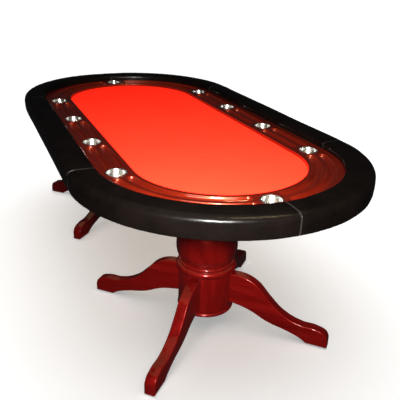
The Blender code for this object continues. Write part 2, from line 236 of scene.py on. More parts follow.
def eased(length, step, fine):
    """Distances from 0 to length, about step apart, with extra ones close to both ends."""
    middle = np.linspace(0, length, max(2, int(round(length / step)) + 1))
    ends = [d for d in fine if d < length / 2]
    keep = middle[(middle > max(ends, default=0) + step / 3)]
    keep = keep[keep < length - max(ends, default=0) - step / 3]
    return np.array(sorted({0.0, length, *ends, *(length - d for d in ends), *keep.tolist()}))


def length_along(points):
    return np.concatenate([[0], np.cumsum(np.linalg.norm(np.diff(points, axis=0), axis=1))])


def turned(name, profile, segments, material, centre, sharp, closed=True):
    """A turned piece from (radius, z) points; a closed profile is a ring round its bore.

    Its grain runs up the axis, and its turn attribute holds the distance along the profile.
    """
    profile = np.asarray(profile, float)
    a = np.arange(segments) * 2 * pi / segments
    x = centre[0] + profile[:, 0][None] * np.cos(a)[:, None]
    y = centre[1] + profile[:, 0][None] * np.sin(a)[:, None]
    z = np.broadcast_to(profile[:, 1], x.shape)
    verts = np.stack([x, y, z], -1)
    count = len(profile)
    faces = grid_faces(segments, count, wrap_rows=True, wrap_columns=closed)
    run = np.broadcast_to(length_along(profile), x.shape)
    round_it = np.broadcast_to(a[:, None] * 0.05, x.shape)
    coords = verts - np.array([centre[0], centre[1], 0])
    attributes = {
        "grain": coords[..., [2, 0, 1]].reshape(-1, 3),
        "turn": np.stack([run, round_it, z], -1).reshape(-1, 3),
    }
    obj = object_from(name, verts.reshape(-1, 3), faces, material, attributes, sharp)
    turn_outward(obj.data, weld=not closed)
    return obj


def smooth_profile(points, steps):
    """A Catmull-Rom curve through (radius, z) points, in steps parts between each two."""
    p = np.asarray(points, float)
    p = np.vstack([2 * p[0] - p[1], p, 2 * p[-1] - p[-2]])
    out = []
    for k in range(1, len(p) - 2):
        for t in np.arange(steps) / steps:
            a = 2 * p[k]
            b = (p[k + 1] - p[k - 1]) * t
            c = (2 * p[k - 1] - 5 * p[k] + 4 * p[k + 1] - p[k + 2]) * t * t
            d = (-p[k - 1] + 3 * p[k] - 3 * p[k + 1] + p[k + 2]) * t**3
            out.append((a + b + c + d) / 2)
    out.append(p[-2])
    return [tuple(q) for q in out]


def arc_points(cx, cy, radius, start, end, steps):
    """Points along an arc, both ends included; angles in degrees."""
    angles = [radians(start + (end - start) * i / steps) for i in range(steps + 1)]
    return [(cx + radius * cos(a), cy + radius * sin(a)) for a in angles]


# ---------------------------------------------------------------- materials


class Nodes:
    """A new material, with short calls for the nodes that feed its Principled shader."""

    def __init__(self, name):
        self.material = bpy.data.materials.new(name)
        self.material.use_nodes = True
        self.tree = self.material.node_tree
        self.shader = self.tree.nodes["Principled BSDF"]

    def add(self, kind, **settings):
        node = self.tree.nodes.new("ShaderNode" + kind)
        for key, value in settings.items():
            setattr(node, key, value)
        return node

    def link(self, source, target):
        self.tree.links.new(source, target)

    def set(self, **values):
        for key, value in values.items():
            self.shader.inputs[key.replace("_", " ")].default_value = value

    def attribute(self, name, output="Vector"):
        return self.add("Attribute", attribute_name=name).outputs[output]

    def object_coordinates(self):
        return self.add("TexCoord").outputs["Object"]

    def mapping(self, vector, scale, location=(0, 0, 0)):
        node = self.add("Mapping")
        node.inputs["Scale"].default_value = scale
        node.inputs["Location"].default_value = location
        self.link(vector, node.inputs["Vector"])
        return node.outputs["Vector"]

    def noise(self, vector, scale, detail=4.0, roughness=0.55, distortion=0.0):
        node = self.add("TexNoise")
        node.inputs["Scale"].default_value = scale
        node.inputs["Detail"].default_value = detail
        node.inputs["Roughness"].default_value = roughness
        node.inputs["Distortion"].default_value = distortion
        self.link(vector, node.inputs["Vector"])
        return node.outputs["Fac"]

    def voronoi(self, vector, scale, feature="F1"):
        node = self.add("TexVoronoi", feature=feature)
        node.inputs["Scale"].default_value = scale
        self.link(vector, node.inputs["Vector"])
        return node.outputs["Distance"]

    def ramp(self, fac, stops):
        node = self.add("ValToRGB")
        ramp = node.color_ramp
        while len(ramp.elements) < len(stops):
            ramp.elements.new(0.5)
        for element, (at, colour) in zip(ramp.elements, stops):
            element.position = at
            rgb = colour if hasattr(colour, "__len__") else (colour,) * 3
            element.color = (*rgb, 1.0)
        self.link(fac, node.inputs["Fac"])
        return node.outputs["Color"]

    def mix(self, fac, a, b, blend="MIX"):
        node = self.add("Mix", data_type="RGBA", blend_type=blend)
        for socket, value in ((node.inputs[0], fac), (node.inputs[6], a), (node.inputs[7], b)):
            if isinstance(value, bpy.types.NodeSocket):
                self.link(value, socket)
            elif hasattr(value, "__len__"):
                socket.default_value = (*value, 1.0)
            else:
                socket.default_value = value
        return node.outputs[2]

    def math(self, operation, a, b=0.0, clamp=False):
        node = self.add("Math", operation=operation, use_clamp=clamp)
        for socket, value in zip(node.inputs, (a, b)):
            if isinstance(value, bpy.types.NodeSocket):
                self.link(value, socket)
            else:
                socket.default_value = value
        return node.outputs[0]

    def spread(self, value, low, high):
        """0 to 1 made low to high."""
        node = self.add("MapRange")
        node.inputs["To Min"].default_value = low
        node.inputs["To Max"].default_value = high
        self.link(value, node.inputs["Value"])
        return node.outputs["Result"]

    def bump(self, height, distance, strength=1.0):
        node = self.add("Bump")
        node.inputs["Strength"].default_value = strength
        node.inputs["Distance"].default_value = distance
        self.link(height, node.inputs["Height"])
        self.link(node.outputs["Normal"], self.shader.inputs["Normal"])

    def base(self, colour):
        self.link(colour, self.shader.inputs["Base Color"])

    def rough(self, value):
        self.link(value, self.shader.inputs["Roughness"])


def vinyl_material():
    """Black upholstery vinyl: a fine pebbled grain, satin, with a lighter grey strip at each seam's
    fold that is partly wear and partly a painted highlight of the fold.
    """
    n = Nodes("black_vinyl")
    at = n.object_coordinates()
    grain = n.voronoi(at, 620.0, "SMOOTH_F1")
    crease = n.noise(at, 240.0, 3.0)
    height = n.math("ADD", n.math("MULTIPLY", grain, 0.7), n.math("MULTIPLY", crease, 0.6))
    cloud = n.noise(at, 9.0, 5.0, 0.6)
    colour = n.ramp(cloud, [(0.30, (0.0005, 0.00035, 0.0003)), (0.72, (0.0012, 0.0008, 0.00065))])
    # a lighter grey strip along each seam's fold: partly wear, partly a painted highlight where the
    # fold catches the light
    fold_wear_and_highlight = n.attribute("fold_wear_and_highlight", "Fac")
    n.base(n.mix(fold_wear_and_highlight, colour, (0.0070, 0.0060, 0.0055)))
    n.rough(n.spread(n.noise(at, 30.0, 4.0), 0.20, 0.30))
    n.bump(height, 0.00018, 0.26)
    n.set(Specular_IOR_Level=0.105)
    return n.material


def felt_material():
    """Red speed cloth: a matt nap of short fibres with a soft mottle."""
    n = Nodes("red_felt")
    at = n.object_coordinates()
    fibre = n.noise(at, 1400.0, 3.0, 0.7)
    clump = n.noise(at, 260.0, 4.0, 0.65)
    cloud = n.noise(at, 5.0, 5.0, 0.6)
    colour = n.ramp(fibre, [(0.30, (0.80, 0.0146, 0.0061)), (0.70, (0.92, 0.0199, 0.0086))])
    shade = n.ramp(cloud, [(0.30, 0.90), (0.70, 1.0)])
    n.base(n.mix(1.0, colour, shade, "MULTIPLY"))
    height = n.math("ADD", n.math("MULTIPLY", fibre, 0.5), clump)
    n.bump(height, 0.00035, 0.5)
    n.set(Roughness=1.0, Specular_IOR_Level=0.0)
    return n.material


def wood_material(name, dark, mid, light, gloss, tint, level):
    """Stained wood under lacquer; the grain runs along the first coordinate of its attribute.

    gloss is the lacquer's roughness, and tint and level are for the wood's own reflection.
    """
    n = Nodes(name)
    at = n.attribute("grain")
    broad = n.noise(n.mapping(at, (3.0, 26.0, 26.0)), 1.0, 5.0, 0.6, 0.6)
    streak = n.noise(n.mapping(at, (9.0, 240.0, 240.0)), 1.0, 4.0, 0.6)
    pore = n.noise(n.mapping(at, (60.0, 1500.0, 1500.0)), 1.0, 2.0, 0.5)
    figure = n.math("ADD", n.math("MULTIPLY", broad, 0.62), n.math("MULTIPLY", streak, 0.38))
    colour = n.ramp(figure, [(0.32, dark), (0.50, mid), (0.70, light)])
    pores = n.ramp(pore, [(0.30, 0.55), (0.44, 1.0)])
    n.base(n.mix(0.8, colour, pores, "MULTIPLY"))
    n.rough(n.spread(streak, gloss + 0.12, gloss + 0.24))
    n.bump(n.math("ADD", n.math("MULTIPLY", pore, 0.35), broad), 0.00022, 0.30)
    n.set(Specular_IOR_Level=level, Coat_Weight=1.0, Coat_Roughness=gloss * 0.5, Coat_IOR=1.55)
    n.shader.inputs["Specular Tint"].default_value = (*tint, 1.0)
    return n.material


def steel_material():
    """Drawn stainless steel: fine rings round the axis stretch each highlight up and down."""
    n = Nodes("stainless_steel")
    line = n.noise(n.mapping(n.attribute("turn"), (700.0, 5.0, 0.0)), 1.0, 2.0, 0.5)
    patch = n.noise(n.object_coordinates(), 45.0, 3.0)
    n.base(n.ramp(line, [(0.25, (0.80, 0.79, 0.76)), (0.75, (0.88, 0.87, 0.84))]))
    n.rough(n.spread(patch, 0.26, 0.38))
    n.bump(line, 0.00001, 0.4)
    tangent = n.add("Tangent", direction_type="RADIAL", axis="Z")
    n.link(tangent.outputs["Tangent"], n.shader.inputs["Tangent"])
    n.set(Metallic=1.0, Anisotropic=0.75, Anisotropic_Rotation=0.25)
    return n.material


def plywood_material():
    """Bare birch plywood: broad cathedral grain with fine flecks."""
    n = Nodes("plywood")
    at = n.object_coordinates()
    broad = n.noise(n.mapping(at, (1.6, 14.0, 60.0)), 1.0, 5.0, 0.55, 1.2)
    fleck = n.noise(n.mapping(at, (24.0, 420.0, 420.0)), 1.0, 3.0, 0.6)
    figure = n.math("ADD", n.math("MULTIPLY", broad, 0.7), n.math("MULTIPLY", fleck, 0.3))
    dark, mid, light = (0.36, 0.215, 0.105), (0.50, 0.330, 0.175), (0.60, 0.425, 0.25)
    n.base(n.ramp(figure, [(0.30, dark), (0.52, mid), (0.72, light)]))
    n.rough(n.spread(fleck, 0.60, 0.80))
    n.bump(figure, 0.0003, 0.4)
    n.set(Specular_IOR_Level=0.25)
    return n.material


def foam_material():
    """Cut foam: fine open cells."""
    n = Nodes("foam")
    at = n.object_coordinates()
    cell = n.voronoi(at, 900.0)
    n.base(n.ramp(cell, [(0.0, (0.42, 0.40, 0.34)), (0.6, (0.66, 0.64, 0.57))]))
    n.bump(cell, 0.0004, 0.6)
    n.set(Roughness=0.95, Specular_IOR_Level=0.1)
    return n.material


def zinc_material():
    """Zinc plate with a fine spangle."""
    n = Nodes("zinc_steel")
    at = n.object_coordinates()
    spangle = n.voronoi(at, 260.0)
    n.base(n.ramp(spangle, [(0.0, (0.42, 0.43, 0.42)), (0.7, (0.62, 0.62, 0.60))]))
    n.rough(n.spread(n.noise(at, 120.0), 0.35, 0.55))
    n.bump(spangle, 0.00005, 0.3)
    n.set(Metallic=1.0)
    return n.material


def glide_material():
    """Black moulded plastic."""
    n = Nodes("glide_plastic")
    at = n.object_coordinates()
    grain = n.noise(at, 700.0, 3.0)
    n.base(n.ramp(grain, [(0.3, (0.018, 0.018, 0.018)), (0.7, (0.035, 0.034, 0.033))]))
    n.rough(n.spread(grain, 0.45, 0.65))
    n.bump(grain, 0.0001, 0.4)
    return n.material


def floor_material():
    """A pale matt floor that glows a little, so that it stays pale in the dim room."""
    n = Nodes("studio_floor")
    at = n.object_coordinates()
    cloud = n.noise(at, 1.5, 3.0)
    n.base(n.ramp(cloud, [(0.3, (0.800, 0.800, 0.795)), (0.7, (0.815, 0.815, 0.810))]))
    n.set(Roughness=0.9, Specular_IOR_Level=0.1, Emission_Strength=0.38)
    n.shader.inputs["Emission Color"].default_value = (1.0, 1.0, 0.995, 1.0)
    return n.material


VINYL = vinyl_material()
FELT = felt_material()
RACETRACK_WOOD = wood_material(
    "mahogany_racetrack",
    (0.0190, 0.0008, 0.0003),
    (0.0280, 0.0014, 0.0004),
    (0.0390, 0.0024, 0.0007),
    gloss=0.16,
    tint=(1.0, 0.16, 0.05),
    level=0.5,
)
PEDESTAL_WOOD = wood_material(
    "mahogany_pedestal",
    (0.0100, 0.00018, 0.00014),
    (0.0165, 0.00030, 0.00024),
    (0.0250, 0.00060, 0.00045),
    gloss=0.15,
    tint=(1.0, 0.06, 0.05),
    level=0.22,
)
STEEL = steel_material()
PLYWOOD = plywood_material()
FOAM = foam_material()
ZINC = zinc_material()
GLIDE = glide_material()


# ---------------------------------------------------------------- padded rail


SHOULDER_RADIUS = 0.0235
BROW_RADIUS = 0.0150
RAIL_UNDERSIDE_Z = 0.7319
RAIL_SHOWN_Z = 0.7325  # the skin shows from here up, just above the racetrack
CROWN_INSET = 0.058  # the highest line of the rail's top
CROWN_DROP = 0.0016
SKIRT_TUCK = 0.0013


def rail_loop():
    """The rail's section: a crowned top, and a skirt that tucks in at its foot."""
    corners = [
        (0.0, SKIRT_BOTTOM_Z, 0.003),
        (0.0, RAIL_TOP_Z, SHOULDER_RADIUS),
        (RAIL_WIDTH, RAIL_TOP_Z, BROW_RADIUS),
        (RAIL_WIDTH, RAIL_UNDERSIDE_Z, 0.0015),
        (SKIRT, RAIL_UNDERSIDE_Z, 0.0),
        (SKIRT, SKIRT_BOTTOM_Z, 0.002),
    ]
    loop = round_corners(corners, per_round=10, longest=0.004)
    u, z = loop[:, 0].copy(), loop[:, 1].copy()
    top = smooth_step(0.745, RAIL_TOP_Z, z)
    z -= top * CROWN_DROP * np.clip(np.abs(u - CROWN_INSET) / 0.050, 0, 1.3) ** 2
    u += SKIRT_TUCK * smooth_step(0.705, SKIRT_BOTTOM_Z, z) * (u < SKIRT / 2)
    return np.stack([u, z], 1)


SIM_FRAMES = 16
SIM_PRESSURE = 4.0
SIM_CAP = 0.0013  # no part of the skin moves further than this


def inflate(pads):
    """Blow the skins out against their held edges with a cloth simulation, and keep the result.

    pads holds (object, held) pairs, where held is 1 at a vertex that is glued down.
    """
    scene = bpy.context.scene
    starts = []
    for obj, held in pads:
        group = obj.vertex_groups.new(name="held")
        group.add(np.flatnonzero(held).tolist(), 1.0, "REPLACE")
        cloth = obj.modifiers.new("skin", "CLOTH")
        settings = cloth.settings
        settings.quality = 4
        settings.mass = 0.25
        settings.tension_stiffness = settings.compression_stiffness = 14
        settings.shear_stiffness = 6
        settings.bending_stiffness = 0.35
        settings.use_pressure = True
        settings.uniform_pressure_force = SIM_PRESSURE
        settings.effector_weights.gravity = 0
        settings.vertex_group_mass = "held"
        settings.pin_stiffness = 1.0
        cloth.collision_settings.use_self_collision = False
        cloth.point_cache.frame_start, cloth.point_cache.frame_end = 1, SIM_FRAMES
        starts.append(vertex_array(obj.data))
    for frame_number in range(1, SIM_FRAMES + 1):
        scene.frame_set(frame_number)
    graph = bpy.context.evaluated_depsgraph_get()
    for (obj, _), start in zip(pads, starts):
        move = vertex_array(obj.evaluated_get(graph).data) - start
        far = np.linalg.norm(move, axis=1)
        keep = SIM_CAP * np.tanh(far / SIM_CAP) / np.maximum(far, 1e-9)
        obj.modifiers.remove(obj.modifiers["skin"])
        obj.vertex_groups.clear()
        moved = (start + move * keep[:, None]).astype(np.float32)
        obj.data.vertices.foreach_set("co", moved.ravel())
        obj.data.update()
    scene.frame_set(1)


BROAD_WAVE = 0.0009  # soft unevenness of foam under a skin
SHORT_WAVE = 0.0005
PUCKER = 0.0010  # where the skin is pulled over the inner edge and under the skirt
CURVE_PUCKER = 0.0008  # what a curved section adds to it
GATHER = 0.0010  # towards each seam
SEAM_SINK = 0.0009
END_FOLD = 0.0026  # radius of the fold at each seam


def rail_pad(name, stations, seed):
    """One upholstered section: soft unevenness, puckers along its edges and rounded ends."""
    loop = rail_loop()
    normals = loop_normals(loop)
    along = stations[:, 4][:, None]
    run = length_along(loop)[None]
    u, z = loop[:, 0][None], loop[:, 1][None]
    shown = ((u < 0.0005 + SKIRT * 0.35) | (z > RAIL_SHOWN_Z)).astype(float)
    base = place(stations, u, z)
    ends = np.minimum(
        np.linalg.norm(base - base[:1], axis=2), np.linalg.norm(base - base[-1:], axis=2)
    )
    lift = BROAD_WAVE * (value_noise(along / 0.160, run / 0.120, seed) - 0.5)
    lift += SHORT_WAVE * (value_noise(along / 0.055, run / 0.050, seed + 1) - 0.5)
    # puckers
    curved = abs(stations[0, 2] - stations[-1, 2]) > 0.1
    inner = np.exp(-np.clip(z - RAIL_SHOWN_Z, 0, None) / 0.010) * (u > 0.09)
    under = np.exp(-np.clip(z - SKIRT_BOTTOM_Z, 0, None) / 0.014) * (u < 0.01)
    pleat = value_noise(along / 0.016, np.zeros_like(run), seed + 2) - 0.5
    pleat = pleat + 0.6 * (value_noise(along / 0.007, np.zeros_like(run), seed + 3) - 0.5)
    lift += (PUCKER + CURVE_PUCKER * curved) * pleat * (0.12 * inner + 0.5 * under)
    # the skin gathers a little towards each seam
    gather = value_noise(run / 0.011, np.zeros_like(along), seed + 4) - 0.5
    lift += GATHER * gather * np.exp(-ends / 0.018)
    lift -= SEAM_SINK * np.exp(-ends / 0.012)
    lift = lift * shown
    # rounded ends
    left = np.clip(END_FOLD - ends, 0, END_FOLD)
    lift -= (END_FOLD - np.sqrt(np.maximum(END_FOLD**2 - left**2, 0))) * 0.92
    verts = place(stations, u + normals[:, 0] * lift, z + normals[:, 1] * lift)
    rows, columns = verts.shape[:2]
    faces = grid_faces(rows, columns, wrap_columns=True)
    faces.append(list(range(columns)))
    faces.append([(rows - 1) * columns + j for j in range(columns)][::-1])
    # lighter strip along each seam's fold: partly wear, partly a painted highlight of the fold
    fold_wear_and_highlight = 0.9 * np.exp(-((ends - 0.0014) ** 2) / (2 * 0.0008**2)) * shown
    skin = verts.reshape(-1, 3)
    obj = object_from(name + "_skin", skin, faces, VINYL, {"fold_wear_and_highlight": fold_wear_and_highlight.ravel()})
    turn_outward(obj.data)
    held = np.where(shown > 0, 0.0, 1.0) * np.ones_like(ends)
    held[:2] = held[-2:] = 1.0
    finish_piece(obj, "table", name)
    return obj, held.ravel()


def make_rail():
    """Two straight pads and four quarter circles, with stations 7 mm apart and closer at seams."""
    step = 0.007
    fine = (0.0003, 0.0008, 0.0014, 0.0021, 0.0029, 0.0038, 0.0050, 0.0075, 0.011)
    run = 2 * (HALF_STRAIGHT - SEAM)
    straight = eased(run, step, fine)
    left = straight_stations(-1, -HALF_STRAIGHT + SEAM, HALF_STRAIGHT - SEAM, straight)
    right = straight_stations(1, HALF_STRAIGHT - SEAM, -HALF_STRAIGHT + SEAM, straight)
    pads = [rail_pad("rail_pad_left", left, 11), rail_pad("rail_pad_right", right, 22)]
    ease = SEAM / HALF_WIDTH
    quarter = eased(HALF_WIDTH * (pi / 2 - 2 * ease), step, fine)
    corners = (
        ("rail_pad_front_left", HALF_STRAIGHT, -pi / 2, 33),
        ("rail_pad_front_right", HALF_STRAIGHT, 0, 44),
        ("rail_pad_back_right", -HALF_STRAIGHT, pi / 2, 55),
        ("rail_pad_back_left", -HALF_STRAIGHT, pi, 66),
    )
    for name, centre_x, start, seed in corners:
        stations = arc_stations(centre_x, start + ease, pi / 2, quarter)
        pads.append(rail_pad(name, stations, seed))
    inflate(pads)


# ---------------------------------------------------------------- racetrack

RACETRACK_BOARDS = ["racetrack_%s_wood" % side for side in ("left", "right", "front", "back")]
GROOVE_EASE = 0.0004  # softness of a groove's top edge


def cup_centres():
    """Four cups along each straight side and one in the middle of each end."""
    along = [CUP_PITCH * (i - 1.5) for i in range(4)]
    end_x = HALF_STRAIGHT + CUP_LINE
    left = [(x, -CUP_LINE) for x in along]
    right = [(-x, CUP_LINE) for x in along]
    return left + [(end_x, 0.0)] + right + [(-end_x, 0.0)]


def stadium_run(x, y):
    """Distance along the cup line from the middle of a straight, and the inset, of a point."""
    over = np.abs(x) - HALF_STRAIGHT
    round_end = over > 0
    radius = np.where(round_end, np.hypot(over, y), np.abs(y))
    angle = np.arctan2(np.abs(y), np.where(round_end, over, 1.0))
    run = np.where(round_end, HALF_STRAIGHT + (pi / 2 - angle) * CUP_LINE, np.abs(x))
    return run, HALF_WIDTH - radius


def groove_depth(x, y):
    """Depth of the chip grooves at a point of the racetrack, with their top edges eased."""
    run, inset = stadium_run(x, y)
    stops = [0.5 * CUP_PITCH, 1.5 * CUP_PITCH, HALF_STRAIGHT + CUP_LINE * pi / 2]
    spans = [(-stops[0], stops[0]), (stops[0], stops[1]), (stops[1], stops[2])]
    depth = np.zeros_like(run)
    for row in GROOVE_INSETS:
        across = inset - row
        for start, end in spans:
            low, high = start + GROOVE_END, end - GROOVE_END
            past = np.maximum(np.maximum(low - run, run - high), 0)
            off = np.hypot(across, past)
            cove = np.sqrt(np.maximum(GROOVE_RADIUS**2 - off**2, 1e-9)) - GROOVE_HEIGHT
            cove = GROOVE_EASE * np.logaddexp(0, np.clip(cove / GROOVE_EASE, -30, 60))
            depth = np.maximum(depth, cove * (off < GROOVE_RADIUS))
    return depth


def graded(start, end, fine_step, coarse_step, fine_spans):
    """Numbers from start to end, close together inside the fine spans."""
    values = [start]
    while values[-1] < end - 1e-6:
        at = values[-1]
        near = any(low - coarse_step <= at <= high for low, high in fine_spans)
        values.append(at + (fine_step if near else coarse_step))
    if len(values) > 1 and end - values[-2] < fine_step * 0.6:
        values.pop(-2)
    values[-1] = end
    return np.array(values)


def track_columns():
    """(inset, drop) across a board: outer wall, flat top, eased inner edge, inner wall."""
    outer, inner = TRACK_INSET
    ease = 0.0022
    half = sqrt(GROOVE_RADIUS**2 - GROOVE_HEIGHT**2)
    margin = 0.0035  # on both sides of a groove's edge
    walls = []
    for row in GROOVE_INSETS:
        walls += [(row + edge - margin, row + edge + margin) for edge in (-half, half)]
    flat = graded(outer, inner - ease, 0.00065, 0.0017, walls)
    thickness = TRACK_TOP_Z - TRACK_BOTTOM_Z
    inset = [outer, *flat]
    drop = [thickness] + [0.0] * len(flat)
    for a in np.linspace(0, pi / 2, 7)[1:]:
        inset.append(inner - ease + ease * sin(a))
        drop.append(ease * (1 - cos(a)))
    for d in (0.008, 0.016, thickness):
        inset.append(inner)
        drop.append(d)
    return np.array(inset), np.array(drop)


def track_distances(length, cups):
    """Distances along a board, close together by each cup hole and groove end."""
    end, reach = 0.060, 0.026  # from a cup's centre to a groove's end, and to each side of that
    spans = []
    for cup in cups:
        spans += [(cup + side * end - reach, cup + side * end + reach) for side in (-1, 1)]
    spans += [(cup - 0.040, cup + 0.040) for cup in cups]
    return graded(0.0, length, 0.0014, 0.0042, spans)


def track_board(name, stations):
    """A racetrack board as one closed mesh."""
    inset, drop = track_columns()
    flat = place(stations, inset[None], 0.0)
    x, y = flat[..., 0], flat[..., 1]
    z = TRACK_TOP_Z - drop[None] - groove_depth(x, y) * (drop[None] == 0)
    # vertices just inside a cup hole move out onto its rim, and the faces inside it go
    inside = np.zeros(x.shape, bool)
    for cx, cy in cup_centres():
        away = np.hypot(x - cx, y - cy)
        here = away < CUP_HOLE
        factor = np.where(here, CUP_HOLE / np.maximum(away, 1e-6), 1.0)
        x = np.where(here, cx + (x - cx) * factor, x)
        y = np.where(here, cy + (y - cy) * factor, y)
        inside |= here
    verts = np.stack([x, y, z], -1).reshape(-1, 3)
    faces = np.array(grid_faces(*x.shape))
    gone = inside.ravel()[faces].all(1)
    faces = faces[~gone]
    used = np.unique(faces)
    renumber = np.full(len(verts), -1)
    renumber[used] = np.arange(len(used))
    rows, columns = x.shape
    caps = [np.arange(columns)[::-1], (rows - 1) * columns + np.arange(columns)]
    polygons = renumber[faces].tolist() + [renumber[cap].tolist() for cap in caps]
    radius = HALF_WIDTH - np.broadcast_to(inset, x.shape)
    along = np.broadcast_to(stations[:, 4:5], x.shape)
    grain = np.stack([along, radius, z], -1).reshape(-1, 3)[used]
    board = object_from(name + "_wood", verts[used], polygons, RACETRACK_WOOD, {"grain": grain})
    close_board(board.data)
    finish_piece(board, "table", name)


def close_board(mesh):
    """Carry each cup hole's rim down through the board, then fill the underside round the holes."""
    bm = bmesh.new()
    bm.from_mesh(mesh)
    top_z = TRACK_TOP_Z - 0.001
    rim = [edge for edge in bm.edges if edge.is_boundary and edge.verts[0].co.z > top_z]
    below = {}  # the extrude operator would give its faces in another order on each run
    for edge in rim:
        for vert in edge.verts:
            if vert not in below:
                below[vert] = bm.verts.new((vert.co.x, vert.co.y, TRACK_BOTTOM_Z), vert)
    for edge in rim:
        a, b = edge.verts
        bm.faces.new((a, b, below[b], below[a]), edge.link_faces[0])
    open_edges = [edge for edge in bm.edges if edge.is_boundary]
    bmesh.ops.triangle_fill(bm, edges=open_edges, use_beauty=True, normal=(0, 0, -1))
    bmesh.ops.recalc_face_normals(bm, faces=bm.faces)
    bm.to_mesh(mesh)
    bm.free()
    mesh.set_sharp_from_angle(angle=radians(50))


def make_track():
    """Two straight boards, and two U-shaped ends that reach from seam to seam."""
    run = 2 * (TRACK_SEAM_X - SEAM)
    steps = track_distances(run, [CUP_PITCH * share - SEAM for share in (0.5, 1.5)])
    start = TRACK_SEAM_X - SEAM
    track_board("racetrack_left", straight_stations(-1, -start, start, steps))
    track_board("racetrack_right", straight_stations(1, start, -start, steps))
    lead = HALF_STRAIGHT - TRACK_SEAM_X - SEAM
    first = track_distances(lead, [lead])
    stretch = HALF_WIDTH / CUP_LINE
    turn = track_distances(CUP_LINE * pi, [0.0, CUP_LINE * pi / 2, CUP_LINE * pi]) * stretch
    for name, sign in (("racetrack_front", 1), ("racetrack_back", -1)):
        seam_x, end_x = sign * (TRACK_SEAM_X + SEAM), sign * HALF_STRAIGHT
        a = straight_stations(-sign, seam_x, end_x, first)
        b = arc_stations(end_x, -sign * pi / 2, pi, turn)
        c = straight_stations(sign, end_x, seam_x, lead - first[::-1])
        b[:, 4] += a[-1, 4]
        c[:, 4] += b[-1, 4]
        track_board(name, np.vstack([a[:-1], b, c[1:]]))


# ---------------------------------------------------------------- playfield


def playfield_stations():
    """Round the whole stadium, anticlockwise."""
    straight = np.linspace(0, 2 * HALF_STRAIGHT, 64)
    turn = np.linspace(0, HALF_WIDTH * pi, 72)
    a = straight_stations(-1, -HALF_STRAIGHT, HALF_STRAIGHT, straight)[:-1]
    b = arc_stations(HALF_STRAIGHT, -pi / 2, pi, turn)[:-1]
    c = straight_stations(1, HALF_STRAIGHT, -HALF_STRAIGHT, straight)[:-1]
    d = arc_stations(-HALF_STRAIGHT, pi / 2, pi, turn)[:-1]
    return np.vstack([a, b, c, d])


EDGE_STEPS = [0, 0.0003, 0.0008, 0.0016, 0.0027, 0.0042, 0.006, 0.009, 0.014, 0.022]
EDGE_END = 0.035  # the last step before the even ones
EDGE_DEPTH = 0.0040
EDGE_WIDTH = 0.0075
FOAM_MARGIN = 0.0006  # the foam ends this far inside the cloth's edge


def edge_drop(distance):
    """How far the playing surface has rolled down at a distance in from its edge."""
    left = np.clip(1 - np.asarray(distance) / EDGE_WIDTH, 0, 1)
    return EDGE_DEPTH * (1 - np.sqrt(1 - left**2.4))


def playfield_dip(x, y):
    """Faint waves in the foam, which the cloth follows."""
    return 0.00035 * value_noise(x / 0.11 + 40, y / 0.11 + 40, 7)


def make_foam():
    """The underlay pad, rounded over at its edge, under the cloth."""
    low, high = FOAM_Z
    outer = FELT_INSET + FOAM_MARGIN
    distances = np.array(EDGE_STEPS + list(np.linspace(EDGE_END, HALF_WIDTH - outer, 14)))
    stations = playfield_stations()
    count = len(distances)
    inset = outer + np.concatenate([distances, distances[::-1]])
    z = np.concatenate([high - edge_drop(distances), np.full(count, low)])
    verts = place(stations, inset[None], z[None])
    dip = playfield_dip(verts[..., 0], verts[..., 1])
    dip[:, count:] = 0
    verts[..., 2] -= dip
    faces = grid_faces(len(stations), 2 * count, wrap_rows=True, wrap_columns=True)
    # no wall down the middle, where the top and the underside both end
    faces = [face for k, face in enumerate(faces) if k % (2 * count) != count - 1]
    obj = object_from("playfield_foam_pad", verts.reshape(-1, 3), faces, FOAM, sharp=60)
    turn_outward(obj.data, weld=True)
    finish_piece(obj, "table", "playfield_foam")


def make_felt():
    """The cloth over its foam: flat, with an edge that rolls down into the joint."""
    radius = HALF_WIDTH - FELT_INSET
    distances = np.array(EDGE_STEPS + list(np.linspace(EDGE_END, radius, 18)))
    inset = FELT_INSET + distances
    verts = place(playfield_stations(), inset[None], (FELT_Z - edge_drop(distances))[None])
    verts[..., 2] -= playfield_dip(verts[..., 0], verts[..., 1])
    faces = grid_faces(*verts.shape[:2], wrap_rows=True)
    obj = object_from("playfield_cloth", verts.reshape(-1, 3), faces, FELT)
    turn_outward(obj.data, weld=True)
    if sum(polygon.normal.z for polygon in obj.data.polygons) < 0:
        obj.data.flip_normals()
    finish_piece(obj, "table", "playfield_felt")


# ---------------------------------------------------------------- cup holders


def cup_profile():
    """From the middle of the floor up the inside, over the flange and down the outside."""
    bottom = CUP_TOP_Z - CUP_DEPTH
    inner = CUP_RADIUS - CUP_WALL
    floor_z = bottom + CUP_WALL
    points = [(0.0, floor_z + 0.0006), (0.010, floor_z + 0.0005), (0.026, floor_z)]
    points += arc_points(inner - 0.004, floor_z + 0.004, 0.004, -90, 0, 6)
    points += [(inner, floor_z + 0.012), (inner, floor_z + 0.030), (inner, CUP_TOP_Z - 0.012)]
    points += arc_points(inner + 0.0014, CUP_TOP_Z - 0.0014, 0.0014, 180, 90, 6)
    points += [(inner + 0.0030, CUP_TOP_Z)]
    points += arc_points(CUP_FLANGE - 0.0007, CUP_TOP_Z - 0.0007, 0.0007, 90, -90, 8)
    points += [(CUP_RADIUS + 0.0008, CUP_TOP_Z - 0.0014), (CUP_RADIUS, CUP_TOP_Z - 0.0024)]
    points += [(CUP_RADIUS, bottom + 0.012)]
    points += arc_points(CUP_RADIUS - 0.005, bottom + 0.005, 0.005, 0, -90, 6)
    points += [(0.012, bottom), (0.0, bottom)]
    return points


def make_cups():
    for index, (x, y) in enumerate(cup_centres(), 1):
        name = "cup_holder_%02d" % index
        cup = turned(name + "_steel", cup_profile(), 96, STEEL, (x, y), sharp=45, closed=False)
        finish_piece(cup, "cup_%02d" % index, name)


# ---------------------------------------------------------------- pedestals


